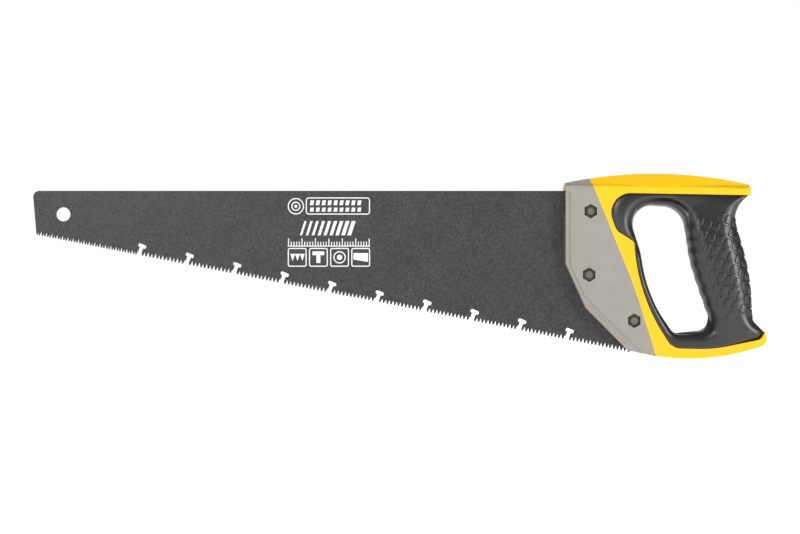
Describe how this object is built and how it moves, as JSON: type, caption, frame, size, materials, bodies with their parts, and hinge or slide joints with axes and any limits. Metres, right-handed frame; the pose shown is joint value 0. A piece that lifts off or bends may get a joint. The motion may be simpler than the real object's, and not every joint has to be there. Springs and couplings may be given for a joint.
{
  "type": "hand saw",
  "caption": "Panel hand saw: coated tapering blade with raker slots, clamped by bolted alloy cheek plates in a closed handle with a rigid core and a soft grip.",
  "frame": {"origin": "axis of the hang hole at the toe, at the middle of the blade's thickness", "axes": "+X along the blade's back from the toe to the handle, +Z from the teeth to the back, -Y towards the side with the nuts"},
  "size_m": [0.5438, 0.0304, 0.1368],
  "materials": {
    "blade_coating": "satin low-friction coating on steel",
    "core_yellow": "moulded, satin gloss",
    "grip_rubber": "soft overmould, matt",
    "cheek_alloy": "cast, satin",
    "black_steel": "black oxide",
    "print_white": "screen-printed ink"
  },
  "bodies": {
    "root": {"blade": "blade_coating", "handle_core": "core_yellow", "soft_grip": "grip_rubber", "front_cheek_plate": "cheek_alloy", "rear_cheek_plate": "cheek_alloy", "bolt_top": "black_steel", "bolt_middle": "black_steel", "bolt_bottom": "black_steel", "nut_top": "black_steel", "nut_middle": "black_steel", "nut_bottom": "black_steel"}
  },
  "joints": []
}
